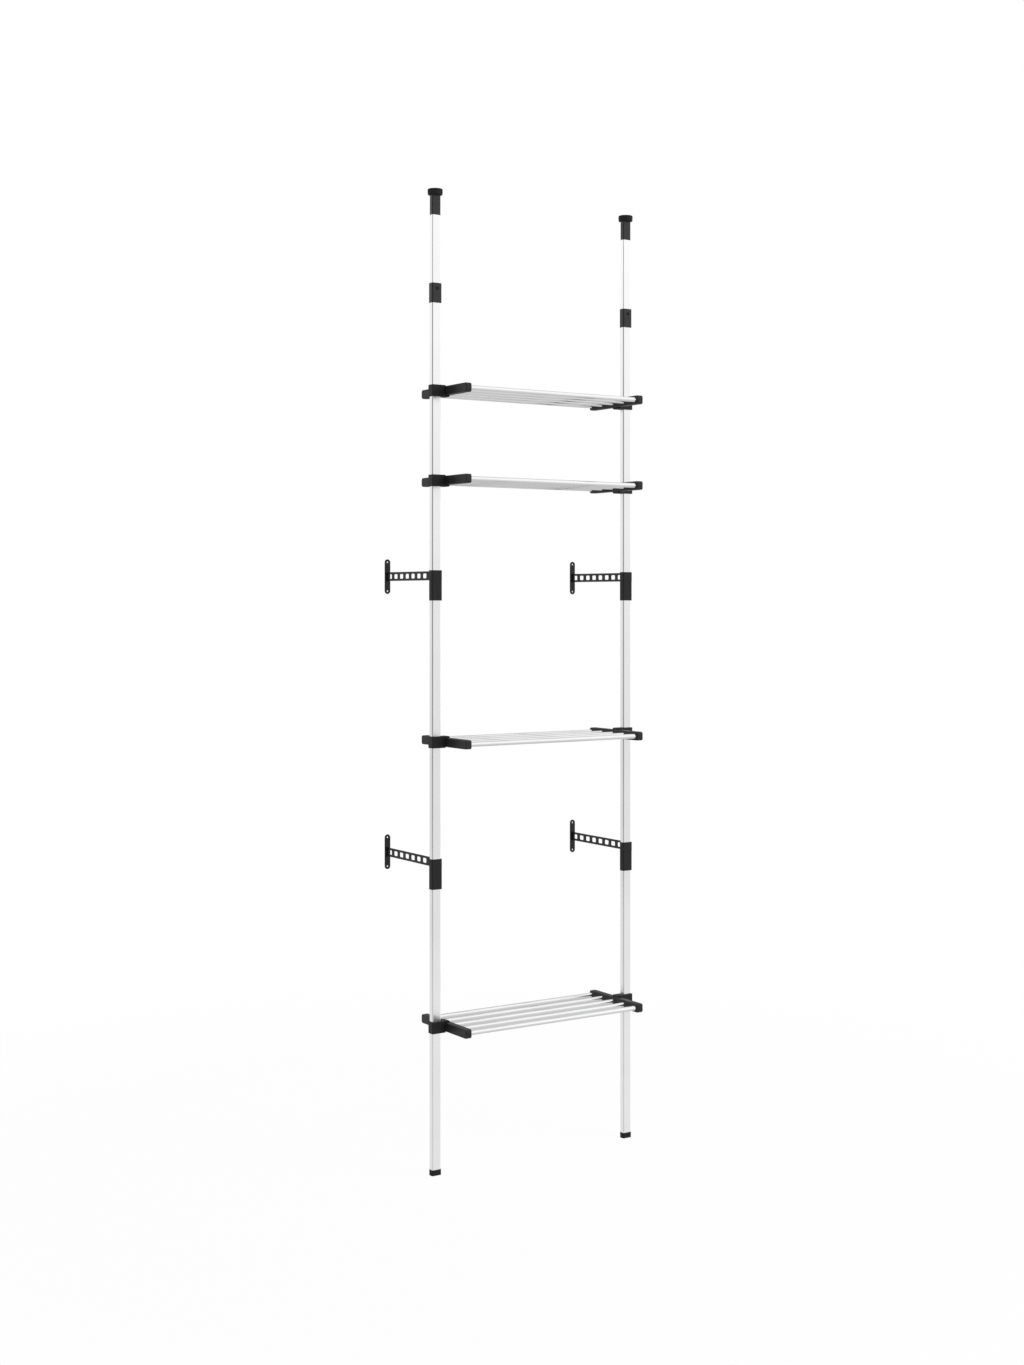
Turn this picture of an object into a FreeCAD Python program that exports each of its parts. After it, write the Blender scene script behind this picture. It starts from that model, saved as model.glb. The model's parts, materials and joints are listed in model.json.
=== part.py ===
"""Tension pole shelf unit: two telescopic poles, four slatted shelves and four wall arms.

Millimetres, +Z up, +X to the right, the wall side towards +Y.  The origin is on the floor, in the
middle of the space that the unit takes up.  Every sub-part is written to parts/NODE.step.
"""
import FreeCAD, Part
import math
import os

Vec = FreeCAD.Vector

# ---- driving dimensions: whole unit ----
TOTAL_HEIGHT = 2600.0          # floor to ceiling
POLE_PITCH = 626.0             # between the two pole centres
SHELF_DEPTH = 228.0            # end bar, front to back
ARM_REACH = 282.0              # pole centre to wall
POLE_Y = -(ARM_REACH - SHELF_DEPTH / 2) / 2
POLE_X = {"left": -POLE_PITCH / 2, "right": POLE_PITCH / 2}

# ---- pole tubes: rounded rectangles, wide side to the front ----
TUBE_WIDTH, TUBE_DEPTH, TUBE_RADIUS = 26.9, 15.9, 3.3
TOP_WIDTH, TOP_DEPTH, TOP_RADIUS = 24.6, 13.6, 2.2
TUBE_WALL = 0.8
RUNNING_GAP = 0.3              # between pieces that slide on each other

# ---- heights above the floor ----
FOOT_HEIGHT = 15.0
FOOT_FLOOR = 3.0
SLEEVE_Z = {"lower": 753.5, "upper": 1515.0}
SLEEVE_HEIGHT = 52.0
RING_HEIGHT = 28.0
TUBE_SEAT = 11.0               # a tube's upper end above the bottom of the sleeve it enters
LOWER_JOINT_Z = SLEEVE_Z["lower"] + 26.0
MIDDLE_TOP_Z = SLEEVE_Z["upper"] + TUBE_SEAT
UPPER_TUBE_LIFT = {"left": 15.0, "right": 0.0}
UPPER_TUBE_LENGTH = 787.0
COLLAR_HEIGHT = 52.0
COLLAR_GRIP = 28.0             # length of upper tube inside the collar
TOP_TUBE_Z = 2000.0            # lower end of the telescopic tube
NECK_Z = 2532.0                # lower rim of the plunger's skirt
TOP_TUBE_END_Z = 2546.0        # upper end of the telescopic tube, inside the skirt
PAD_HEIGHT = 15.0
PAD_DIAMETER = 40.0
PAD_Z = TOTAL_HEIGHT - PAD_HEIGHT

# ---- plunger, spring and seat inside the telescopic tube ----
SKIRT_WALL = 0.6
SKIRT_GAP = 0.2
SKIRT_ROOF = 2.5
SHANK_WIDTH, SHANK_DEPTH, SHANK_RADIUS = 22.2, 11.2, 1.2
SHANK_LENGTH = 55.0            # below the skirt's rim
SEAT_Z = 2397.0
SEAT_HEIGHT = 6.0
SPRING_DIAMETER = 9.0          # to the middle of the wire
SPRING_WIRE = 1.5
SPRING_TURNS = 8
SPIGOT_DIAMETER = 12.0
SPIGOT_LENGTH = 6.0

# ---- sleeves, rings and wall arms ----
SLEEVE_WALL = 1.3
STRAP_THICKNESS = 1.6
STRAP_HEIGHT = 24.4
STRAP_GAP = 0.2
STRAP_X = TUBE_WIDTH / 2 + STRAP_GAP + STRAP_THICKNESS / 2
RING_MINUS_X = -(TUBE_WIDTH / 2 + SLEEVE_WALL)
RING_PLUS_X = STRAP_X + STRAP_THICKNESS / 2 + STRAP_GAP + SLEEVE_WALL
RING_DEPTH = TUBE_DEPTH + 2 * SLEEVE_WALL
RING_RADIUS = 4.0
PLATE_WIDTH, PLATE_HEIGHT, PLATE_THICKNESS = 17.0, 96.0, 2.5
PLATE_HOLE_DIAMETER = 4.6
PLATE_HOLE_PITCH = 80.0
SLOT_LENGTH, SLOT_HEIGHT, SLOT_RADIUS = 18.5, 12.6, 3.5
SLOT_PITCH = 31.0
SLOT_COUNT = 8
SLOT_MARGIN = 6.0              # from the plate to the first slot

# ---- lock collar and its push button ----
COLLAR_WIDTH = 29.8
COLLAR_FRONT, COLLAR_BACK = -10.5, 9.5
COLLAR_RADIUS = 4.0
BUTTON_DIAMETER = 9.4
BUTTON_THICKNESS = 1.0
BUTTON_DROP = 14.5             # from the top of the collar
BUTTON_SINK = 0.9
BUTTON_GAP = 0.1

# ---- shelves ----
SHELF_Z = {"shelf_1": 2058.0, "shelf_2": 1821.0, "shelf_3": 1128.0, "shelf_4": 376.5}
LIP_UNDER = {"shelf_1", "shelf_2"}   # these clamps hold their bar from below
BAR_WIDTH, BAR_HEIGHT = 18.0, 24.0
BAR_END_RADIUS = 6.0           # corners of the bar seen from its side
BAR_EDGE = 2.0
BAR_OFFSET = 25.0              # pole centre to the bar's outer face
RAIL_DIAMETER, RAIL_WALL = 13.0, 1.0
RAIL_COUNT = 5
RAIL_PITCH = 51.0
RAIL_SEAT = 10.0
CLAMP_HEIGHT = 31.0
CLAMP_DROP = 2.0               # from the bar's underside down to the clamp's
CLAMP_OUTER_X = 15.8
CLAMP_FRONT, CLAMP_BACK = -12.8, 10.6
CLAMP_RADIUS = 3.0
CLAMP_LIP = 12.5               # reach of the clamp's lip along the bar's top or underside
CLAMP_LIP_CHAMFER = 2.5
BOSS_DIAMETER, BOSS_LENGTH = 9.0, 2.4
SCREW_DIAMETER = 4.0


# ---- helpers ----
def rounded_outline(x_min, x_max, y_min, y_max, radius, z):
    """Closed wire of a rectangle with round corners, in a horizontal plane."""
    corners = [(x_max - radius, y_max - radius, 0), (x_min + radius, y_max - radius, 90),
               (x_min + radius, y_min + radius, 180), (x_max - radius, y_min + radius, 270)]
    arcs = []
    for centre_x, centre_y, start in corners:
        points = []
        for step in (0, 45, 90):
            angle = math.radians(start + step)
            points.append(Vec(centre_x + radius * math.cos(angle),
                              centre_y + radius * math.sin(angle), z))
        arcs.append(points)
    edges = []
    for index, points in enumerate(arcs):
        edges.append(Part.Arc(*points).toShape())
        edges.append(Part.LineSegment(points[2], arcs[(index + 1) % 4][0]).toShape())
    return Part.Wire(edges)


def prism(x_min, x_max, y_min, y_max, radius, z_min, z_max):
    """Upright block with round vertical corners."""
    face = Part.Face(rounded_outline(x_min, x_max, y_min, y_max, radius, z_min))
    return face.extrude(Vec(0, 0, z_max - z_min))


def centred_prism(width, depth, radius, z_min, z_max):
    """Upright rounded block centred on the pole axis."""
    return prism(-width / 2, width / 2, -depth / 2, depth / 2, radius, z_min, z_max)


def square_tube(width, depth, radius, z_min, z_max):
    """Rounded rectangular tube centred on the pole axis."""
    outer = centred_prism(width, depth, radius, z_min, z_max)
    bore = centred_prism(width - 2 * TUBE_WALL, depth - 2 * TUBE_WALL, radius - TUBE_WALL,
                         z_min, z_max)
    return outer.cut(bore)


def soften_rims(solid, radius, heights):
    """Fillet the horizontal edges that lie at the given heights."""
    rims = [edge for edge in solid.Edges
            if any(abs(edge.BoundBox.ZMin - z) < 1e-6 and abs(edge.BoundBox.ZMax - z) < 1e-6
                   for z in heights)]
    return solid.makeFillet(radius, rims)


def cylinder(diameter, length, base, direction):
    """Plain cylinder from a base point along a direction."""
    return Part.makeCylinder(diameter / 2, length, base, direction)


def place(shape, pole, z=0.0):
    """Copy of a shape moved from the pole axis to one of the two poles."""
    moved = shape.copy()
    moved.translate(Vec(POLE_X[pole], POLE_Y, z))
    return moved


def export(shape, node):
    """Write one sub-part."""
    shape.exportStep("parts/" + node + ".step")


# ---- pole ----
def foot():
    """Cap under the pole, with a floor that the lower tube stands on."""
    wall = 1.0
    block = centred_prism(TUBE_WIDTH + 2 * wall, TUBE_DEPTH + 2 * wall, TUBE_RADIUS + wall,
                          0, FOOT_HEIGHT)
    block = soften_rims(block, 0.8, [0])
    return block.cut(centred_prism(TUBE_WIDTH, TUBE_DEPTH, TUBE_RADIUS, FOOT_FLOOR, FOOT_HEIGHT))


def fixed_tubes(pole):
    """The three tubes of one pole that stay in place, from the floor up."""
    upper_z = MIDDLE_TOP_Z + UPPER_TUBE_LIFT[pole]
    spans = {"lower_tube": (FOOT_FLOOR, LOWER_JOINT_Z),
             "middle_tube": (LOWER_JOINT_Z, MIDDLE_TOP_Z),
             "upper_tube": (upper_z, upper_z + UPPER_TUBE_LENGTH)}
    return {name: square_tube(TUBE_WIDTH, TUBE_DEPTH, TUBE_RADIUS, *span)
            for name, span in spans.items()}


def sleeve_block(z_min, z_max):
    """Outer form that a connector sleeve and the ring above it share."""
    return prism(RING_MINUS_X, RING_PLUS_X, -RING_DEPTH / 2, RING_DEPTH / 2, RING_RADIUS,
                 z_min, z_max)


def connector_sleeve():
    """Sleeve round the joint of two tubes, from z = 0."""
    block = soften_rims(sleeve_block(0, SLEEVE_HEIGHT), 0.6, [0, SLEEVE_HEIGHT])
    return block.cut(centred_prism(TUBE_WIDTH, TUBE_DEPTH, TUBE_RADIUS, 0, SLEEVE_HEIGHT))


def arm_ring():
    """Ring on top of a sleeve, from z = 0, with a pocket beside the tube for the wall arm."""
    block = soften_rims(sleeve_block(0, RING_HEIGHT), 0.6, [0, RING_HEIGHT])
    block = block.cut(centred_prism(TUBE_WIDTH, TUBE_DEPTH, TUBE_RADIUS, 0, RING_HEIGHT))
    half_pocket = STRAP_THICKNESS / 2 + STRAP_GAP
    pocket_margin = (RING_HEIGHT - STRAP_HEIGHT) / 2 - STRAP_GAP
    pocket = Part.makeBox(2 * half_pocket, RING_DEPTH, RING_HEIGHT - 2 * pocket_margin,
                          Vec(STRAP_X - half_pocket, -RING_DEPTH / 2, pocket_margin))
    return block.cut(pocket)


def collar_z(pole):
    """Bottom of the lock collar of one pole."""
    return MIDDLE_TOP_Z + UPPER_TUBE_LIFT[pole] + UPPER_TUBE_LENGTH - COLLAR_GRIP


def lock_collar():
    """Collar that grips the upper tube and guides the telescopic tube, from z = 0."""
    block = prism(-COLLAR_WIDTH / 2, COLLAR_WIDTH / 2, COLLAR_FRONT, COLLAR_BACK, COLLAR_RADIUS,
                  0, COLLAR_HEIGHT)
    block = soften_rims(block, 0.8, [0, COLLAR_HEIGHT])
    grip = centred_prism(TUBE_WIDTH, TUBE_DEPTH, TUBE_RADIUS, 0, COLLAR_GRIP)
    guide = centred_prism(TOP_WIDTH + 2 * RUNNING_GAP, TOP_DEPTH + 2 * RUNNING_GAP,
                          TOP_RADIUS + RUNNING_GAP, COLLAR_GRIP, COLLAR_HEIGHT)
    button_z = COLLAR_HEIGHT - BUTTON_DROP
    button_hole = cylinder(BUTTON_DIAMETER + 2 * BUTTON_GAP, -COLLAR_FRONT,
                           Vec(0, COLLAR_FRONT, button_z), Vec(0, 1, 0))
    return block.cut(grip).cut(guide).cut(button_hole)


def lock_button():
    """Round push button of the collar, pressed towards +Y, at the collar's own height."""
    base = Vec(0, COLLAR_FRONT + BUTTON_SINK, COLLAR_HEIGHT - BUTTON_DROP)
    button = cylinder(BUTTON_DIAMETER, BUTTON_THICKNESS, base, Vec(0, 1, 0))
    front_rim = [edge for edge in button.Edges
                 if abs(edge.BoundBox.YMin - base.y) < 1e-6 and edge.BoundBox.YLength < 1e-6]
    return button.makeFillet(0.4, front_rim)


def plunger():
    """Sprung neck: a skirt over the telescopic tube, a shank inside it and a spigot for the pad."""
    bore_width, bore_depth = TOP_WIDTH + 2 * SKIRT_GAP, TOP_DEPTH + 2 * SKIRT_GAP
    bore_radius = TOP_RADIUS + SKIRT_GAP
    skirt = centred_prism(bore_width + 2 * SKIRT_WALL, bore_depth + 2 * SKIRT_WALL,
                          bore_radius + SKIRT_WALL, NECK_Z, PAD_Z)
    skirt = skirt.cut(centred_prism(bore_width, bore_depth, bore_radius, NECK_Z,
                                    PAD_Z - SKIRT_ROOF))
    shank = centred_prism(SHANK_WIDTH, SHANK_DEPTH, SHANK_RADIUS, NECK_Z - SHANK_LENGTH,
                          PAD_Z - SKIRT_ROOF)
    spigot = cylinder(SPIGOT_DIAMETER - 2, SPIGOT_LENGTH, Vec(0, 0, PAD_Z), Vec(0, 0, 1))
    return skirt.fuse([shank, spigot]).removeSplitter()


def ceiling_pad():
    """Round pad that meets the ceiling, with a blind hole for the plunger's spigot."""
    pad = cylinder(PAD_DIAMETER, PAD_HEIGHT, Vec(0, 0, PAD_Z), Vec(0, 0, 1))
    pad = soften_rims(pad, 1.5, [PAD_Z, TOTAL_HEIGHT])
    return pad.cut(cylinder(SPIGOT_DIAMETER - 2, SPIGOT_LENGTH, Vec(0, 0, PAD_Z), Vec(0, 0, 1)))


def spring_seat():
    """Plug pressed into the telescopic tube under the spring."""
    return centred_prism(TOP_WIDTH - 2 * TUBE_WALL, TOP_DEPTH - 2 * TUBE_WALL,
                         TOP_RADIUS - TUBE_WALL, SEAT_Z, SEAT_Z + SEAT_HEIGHT)


def plunger_spring():
    """Compression spring of square wire between the seat and the plunger."""
    z_min = SEAT_Z + SEAT_HEIGHT + SPRING_WIRE / 2
    z_max = NECK_Z - SHANK_LENGTH - SPRING_WIRE / 2
    helix = Part.makeHelix((z_max - z_min) / SPRING_TURNS, z_max - z_min, SPRING_DIAMETER / 2)
    half = SPRING_WIRE / 2
    centre_x = SPRING_DIAMETER / 2
    section = Part.makePolygon([Vec(centre_x - half, 0, -half), Vec(centre_x + half, 0, -half),
                                Vec(centre_x + half, 0, half), Vec(centre_x - half, 0, half),
                                Vec(centre_x - half, 0, -half)])
    spring = Part.Wire(helix.Edges).makePipeShell([section], True, True)
    spring.translate(Vec(0, 0, z_min))
    return spring


def wall_arm():
    """Slotted strap with a T plate against the wall; z = 0 is the middle of the strap."""
    strap_front = -RING_DEPTH / 2
    plate_front = ARM_REACH - PLATE_THICKNESS
    strap = Part.makeBox(STRAP_THICKNESS, plate_front - strap_front, STRAP_HEIGHT,
                         Vec(STRAP_X - STRAP_THICKNESS / 2, strap_front, -STRAP_HEIGHT / 2))
    half_plate = PLATE_HEIGHT / 2 - PLATE_WIDTH / 2
    plate = Part.makeBox(PLATE_WIDTH, PLATE_THICKNESS, 2 * half_plate,
                         Vec(STRAP_X - PLATE_WIDTH / 2, plate_front, -half_plate))
    for side in (-1, 1):
        end = Vec(STRAP_X, plate_front, side * half_plate)
        plate = plate.fuse(cylinder(PLATE_WIDTH, PLATE_THICKNESS, end, Vec(0, 1, 0)))
    for side in (-1, 1):
        hole = Vec(STRAP_X, plate_front, side * PLATE_HOLE_PITCH / 2)
        plate = plate.cut(cylinder(PLATE_HOLE_DIAMETER, PLATE_THICKNESS, hole, Vec(0, 1, 0)))
    for index in range(SLOT_COUNT):
        slot_back = plate_front - SLOT_MARGIN - index * SLOT_PITCH
        slot = prism(-SLOT_HEIGHT / 2, SLOT_HEIGHT / 2, slot_back - SLOT_LENGTH, slot_back,
                     SLOT_RADIUS, -STRAP_THICKNESS, STRAP_THICKNESS)
        slot.rotate(Vec(0, 0, 0), Vec(0, 1, 0), 90)
        slot.translate(Vec(STRAP_X, 0, 0))
        strap = strap.cut(slot)
    return strap.fuse(plate).removeSplitter()


# ---- shelf: built at the pole axis with the bar's underside at z = 0 ----
def rail_positions():
    """Front-to-back places of the round tubes."""
    first = -RAIL_PITCH * (RAIL_COUNT - 1) / 2
    return [first + index * RAIL_PITCH for index in range(RAIL_COUNT)]


def end_bar(inward):
    """Moulded end bar with blind sockets for the tubes; inward is +1 on the left pole."""
    x_near, x_far = sorted((inward * BAR_OFFSET, inward * (BAR_OFFSET + BAR_WIDTH)))
    bar = prism(-BAR_HEIGHT, 0, -SHELF_DEPTH / 2, SHELF_DEPTH / 2, BAR_END_RADIUS, x_near, x_far)
    bar.rotate(Vec(0, 0, 0), Vec(0, 1, 0), 90)
    outlines = [edge for edge in bar.Edges if edge.BoundBox.XLength < 1e-6]
    bar = bar.makeFillet(BAR_EDGE, outlines)
    socket_mouth = inward * (BAR_OFFSET + BAR_WIDTH)
    for y in rail_positions():
        bar = bar.cut(cylinder(RAIL_DIAMETER, RAIL_SEAT, Vec(socket_mouth, y, BAR_HEIGHT / 2),
                               Vec(-inward, 0, 0)))
    return bar


def shelf_clamp(inward, lip_under):
    """Block round the pole that carries the end bar and hooks over or under it with a lip."""
    x_bar = BAR_OFFSET
    depth = CLAMP_BACK - CLAMP_FRONT
    bottom, top = -CLAMP_DROP, CLAMP_HEIGHT - CLAMP_DROP
    block = prism(-CLAMP_OUTER_X, x_bar, CLAMP_FRONT, CLAMP_BACK, CLAMP_RADIUS, bottom, top)
    arm = Part.makeBox(x_bar - 10, depth, CLAMP_HEIGHT, Vec(10, CLAMP_FRONT, bottom))
    lip = Part.makeBox(CLAMP_LIP, depth, top - BAR_HEIGHT, Vec(x_bar, CLAMP_FRONT, BAR_HEIGHT))
    tip = [edge for edge in lip.Edges
           if edge.BoundBox.XMin > x_bar + 1 and edge.BoundBox.ZMin > BAR_HEIGHT + 1]
    lip = lip.makeChamfer(CLAMP_LIP_CHAMFER, tip)
    boss = cylinder(BOSS_DIAMETER, BOSS_LENGTH, Vec(0, CLAMP_BACK, (bottom + top) / 2), Vec(0, 1, 0))
    block = block.fuse([arm, lip, boss]).removeSplitter()
    hole = centred_prism(TUBE_WIDTH + 2 * RUNNING_GAP, TUBE_DEPTH + 2 * RUNNING_GAP,
                         TUBE_RADIUS + RUNNING_GAP, bottom, top)
    block = block.cut(hole).cut(clamp_screw(False))
    if lip_under:
        block = block.mirror(Vec(0, 0, BAR_HEIGHT / 2), Vec(0, 0, 1))
    if inward < 0:
        block = block.mirror(Vec(0, 0, 0), Vec(1, 0, 0))
    return block


def clamp_screw(lip_under):
    """Grub screw in the back of a clamp, through its boss."""
    start = TUBE_DEPTH / 2 + RUNNING_GAP
    middle = CLAMP_HEIGHT / 2 - CLAMP_DROP
    height = BAR_HEIGHT - middle if lip_under else middle
    return cylinder(SCREW_DIAMETER, CLAMP_BACK + BOSS_LENGTH - start, Vec(0, start, height),
                    Vec(0, 1, 0))


def shelf_rails():
    """The five round tubes of a shelf, between its two end bars."""
    length = POLE_PITCH - 2 * (BAR_OFFSET + BAR_WIDTH - RAIL_SEAT)
    rails = []
    for y in rail_positions():
        start = Vec(-length / 2, y, BAR_HEIGHT / 2)
        tube = cylinder(RAIL_DIAMETER, length, start, Vec(1, 0, 0))
        rails.append(tube.cut(cylinder(RAIL_DIAMETER - 2 * RAIL_WALL, length, start, Vec(1, 0, 0))))
    return Part.makeCompound(rails)


# ---- assembly ----
def build_pole(pole):
    """All the pieces of one pole."""
    export(place(foot(), pole), "foot_" + pole)
    for name, tube in fixed_tubes(pole).items():
        export(place(tube, pole), name + "_" + pole)
    for level, z in SLEEVE_Z.items():
        export(place(connector_sleeve(), pole, z), level + "_sleeve_" + pole)
        ring_z = z + SLEEVE_HEIGHT
        export(place(arm_ring(), pole, ring_z), level + "_ring_" + pole)
        export(place(wall_arm(), pole, ring_z + RING_HEIGHT / 2), level + "_wall_arm_" + pole)
    export(place(lock_collar(), pole, collar_z(pole)), "lock_collar_" + pole)
    export(place(lock_button(), pole, collar_z(pole)), "lock_button_" + pole)
    top_tube = square_tube(TOP_WIDTH, TOP_DEPTH, TOP_RADIUS, TOP_TUBE_Z, TOP_TUBE_END_Z)
    export(place(top_tube, pole), "top_tube_" + pole)
    export(place(spring_seat(), pole), "spring_seat_" + pole)
    export(place(plunger_spring(), pole), "plunger_spring_" + pole)
    export(place(plunger(), pole), "plunger_" + pole)
    export(place(ceiling_pad(), pole), "ceiling_pad_" + pole)


def build_shelf(shelf, z):
    """All the pieces of one shelf."""
    lip_under = shelf in LIP_UNDER
    for pole, inward in (("left", 1), ("right", -1)):
        export(place(end_bar(inward), pole, z), shelf + "_bar_" + pole)
        export(place(shelf_clamp(inward, lip_under), pole, z), shelf + "_clamp_" + pole)
    rails = shelf_rails()
    rails.translate(Vec(0, POLE_Y, z))
    export(rails, shelf + "_tubes")
    screws = Part.makeCompound([place(clamp_screw(lip_under), pole, z) for pole in POLE_X])
    export(screws, shelf + "_screws")


def main():
    """Write every sub-part of the unit."""
    os.makedirs("parts", exist_ok=True)
    for pole in POLE_X:
        build_pole(pole)
    for shelf, z in SHELF_Z.items():
        build_shelf(shelf, z)


main()
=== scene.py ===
"""Looks of the tension pole shelf unit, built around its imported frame.

Metres, +Z up, +X to the right, the wall side towards +Y, origin on the floor in the middle.
"""
import json
import logging
import math
from abc import ABC, abstractmethod
from dataclasses import dataclass
from enum import Enum
from typing import Any

import bpy
import numpy as np
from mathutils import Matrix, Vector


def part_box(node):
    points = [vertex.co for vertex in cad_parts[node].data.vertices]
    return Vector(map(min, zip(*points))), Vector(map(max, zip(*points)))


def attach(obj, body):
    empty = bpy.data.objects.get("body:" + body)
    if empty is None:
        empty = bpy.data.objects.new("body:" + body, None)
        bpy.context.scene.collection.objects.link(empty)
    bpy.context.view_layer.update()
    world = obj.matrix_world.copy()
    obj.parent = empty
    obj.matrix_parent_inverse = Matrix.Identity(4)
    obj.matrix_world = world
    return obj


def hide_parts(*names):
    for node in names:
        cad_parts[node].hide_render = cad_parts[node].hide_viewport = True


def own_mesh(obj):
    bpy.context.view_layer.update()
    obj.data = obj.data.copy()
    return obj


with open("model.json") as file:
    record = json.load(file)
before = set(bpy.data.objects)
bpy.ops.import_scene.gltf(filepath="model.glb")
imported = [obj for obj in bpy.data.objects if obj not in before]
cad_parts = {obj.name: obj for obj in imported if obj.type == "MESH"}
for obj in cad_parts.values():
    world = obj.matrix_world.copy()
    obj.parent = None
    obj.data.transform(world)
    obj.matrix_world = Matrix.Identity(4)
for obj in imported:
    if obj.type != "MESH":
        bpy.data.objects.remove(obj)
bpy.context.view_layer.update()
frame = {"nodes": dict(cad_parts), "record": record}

MM = 0.001
SHELF_COUNT = 4
log = logging.getLogger("shelf_unit")

Colour = tuple[float, float, float]
Pair = tuple[float, float]
Point = tuple[float, float, float]
Outline = tuple[tuple[float, float, float], ...]
Socket = bpy.types.NodeSocket
Surface = tuple[np.ndarray, list[list[int]]]


class Side(Enum):
    """The two poles."""

    LEFT = "left"
    RIGHT = "right"


class Level(Enum):
    """The two heights at which wall arms leave a pole."""

    LOWER = "lower"
    UPPER = "upper"


class Run(Enum):
    """The way an extruded tube runs; the turn brings that way upright."""

    UPRIGHT = (0.0, 0.0, 0.0)
    ACROSS = (0.0, math.pi / 2, 0.0)


class Axis(Enum):
    """Ways that a turned piece points: where its own X, Y and Z axes come to lie."""

    UP = ((1, 0, 0), (0, 1, 0), (0, 0, 1))
    TO_WALL = ((0, 0, 1), (1, 0, 0), (0, 1, 0))
    TO_FRONT = ((1, 0, 0), (0, 0, 1), (0, -1, 0))


# ---------------------------------------------------------------------------------------------
# Shader node groups: each puts out masks and heights only, and is built once
# ---------------------------------------------------------------------------------------------
class NodeSheet:
    """One shader node tree, with short calls that add nodes and join them."""

    def __init__(self, tree: bpy.types.NodeTree) -> None:
        """Keep the tree that the nodes go into."""
        self.tree = tree

    def fill(self, socket: Socket, value: Any) -> None:
        """Join an input to the output that feeds it, or set its own value.

        Args:
            socket: the input socket.
            value: an output socket, a number, a vector or a colour of three channels.
        """
        if isinstance(value, Socket):
            self.tree.links.new(value, socket)
        elif socket.type == "RGBA":
            socket.default_value = (*value, 1.0)
        else:
            socket.default_value = value

    def feed(self, node: bpy.types.Node, **inputs: Any) -> None:
        """Fill a node's inputs by their names, with an underscore for each space."""
        for key, value in inputs.items():
            self.fill(node.inputs[key.replace("_", " ")], value)

    def add(self, kind: str, inputs: dict[Any, Any] | None = None, **settings: Any) -> bpy.types.Node:
        """Add a node, set its properties and fill or join its inputs.

        Args:
            kind: type name of the node.
            inputs: socket name or number to a value, or to the socket that feeds it.
            settings: properties of the node itself.

        Returns:
            The new node.
        """
        node = self.tree.nodes.new(kind)
        for name, value in settings.items():
            setattr(node, name, value)
        for key, value in (inputs or {}).items():
            self.fill(node.inputs[key], value)
        return node

    def math(self, operation: str, *values: float | Socket, clamp: bool = False) -> Socket:
        """Result of one Math node.

        Args:
            operation: name of the operation.
            values: its operands in order.
            clamp: whether the result is kept between 0 and 1.

        Returns:
            The node's output socket.
        """
        node = self.add("ShaderNodeMath", dict(enumerate(values)), operation=operation, use_clamp=clamp)
        return node.outputs[0]

    def vector(self, operation: str, *values: Any) -> bpy.types.Node:
        """One Vector Math node on the given operands."""
        return self.add("ShaderNodeVectorMath", dict(enumerate(values)), operation=operation)

    def mix(self, factor: float | Socket, first: Any, second: Any) -> Socket:
        """Colour between two colours; inputs 6 and 7 and output 2 are the Mix node's colours.

        Args:
            factor: share of the second colour.
            first: colour or socket at factor 0.
            second: colour or socket at factor 1.

        Returns:
            The mixed colour.
        """
        return self.add("ShaderNodeMix", {0: factor, 6: first, 7: second}, data_type="RGBA").outputs[2]

    def smooth(self, value: Socket, low: float, high: float) -> Socket:
        """Smooth step of a value from 0 at low to 1 at high."""
        return self.add("ShaderNodeMapRange", {"Value": value, "From Min": low, "From Max": high},
                        interpolation_type="SMOOTHSTEP").outputs["Result"]

    def noise(self, vector: Socket, scale: float | Socket, detail: float,
              roughness: float = 0.5) -> Socket:
        """Noise between 0 and 1.

        Args:
            vector: the place that it is read at.
            scale: waves to a metre.
            detail: octaves above the first.
            roughness: weight of each octave beside the one before.

        Returns:
            The noise value.
        """
        return self.add("ShaderNodeTexNoise", {"Vector": vector, "Scale": scale, "Detail": detail,
                                               "Roughness": roughness}).outputs["Fac"]

    def bump(self, height: Socket, depth: float) -> Socket:
        """Normal of a height map from 0 to 1 whose real depth is given in metres."""
        return self.add("ShaderNodeBump", {"Height": height, "Strength": 1.0,
                                           "Distance": depth}).outputs[0]


@dataclass(frozen=True)
class Effect:
    """A node group that reads a Vector: its name, its values with their defaults, its outputs."""

    name: str
    values: dict[str, float]
    outputs: tuple[str, ...]

    def start(self) -> tuple[NodeSheet, dict[str, Socket]]:
        """Make the group with its sockets.

        Returns:
            The sheet to draw on, and the group's input sockets by name.
        """
        tree = bpy.data.node_groups.new(self.name, "ShaderNodeTree")
        tree.interface.new_socket("Vector", in_out="INPUT", socket_type="NodeSocketVector")
        for name, default in self.values.items():
            socket = tree.interface.new_socket(name, in_out="INPUT", socket_type="NodeSocketFloat")
            socket.default_value = default
        for name in self.outputs:
            tree.interface.new_socket(name, in_out="OUTPUT", socket_type="NodeSocketFloat")
        sheet = NodeSheet(tree)
        entry = sheet.add("NodeGroupInput")
        return sheet, {name: entry.outputs[name] for name in ("Vector", *self.values)}

    def finish(self, sheet: NodeSheet, *results: Socket) -> bpy.types.NodeTree:
        """Join the results to the group's outputs in order, and give the group back."""
        sheet.add("NodeGroupOutput", dict(zip(self.outputs, results)))
        return sheet.tree


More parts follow.
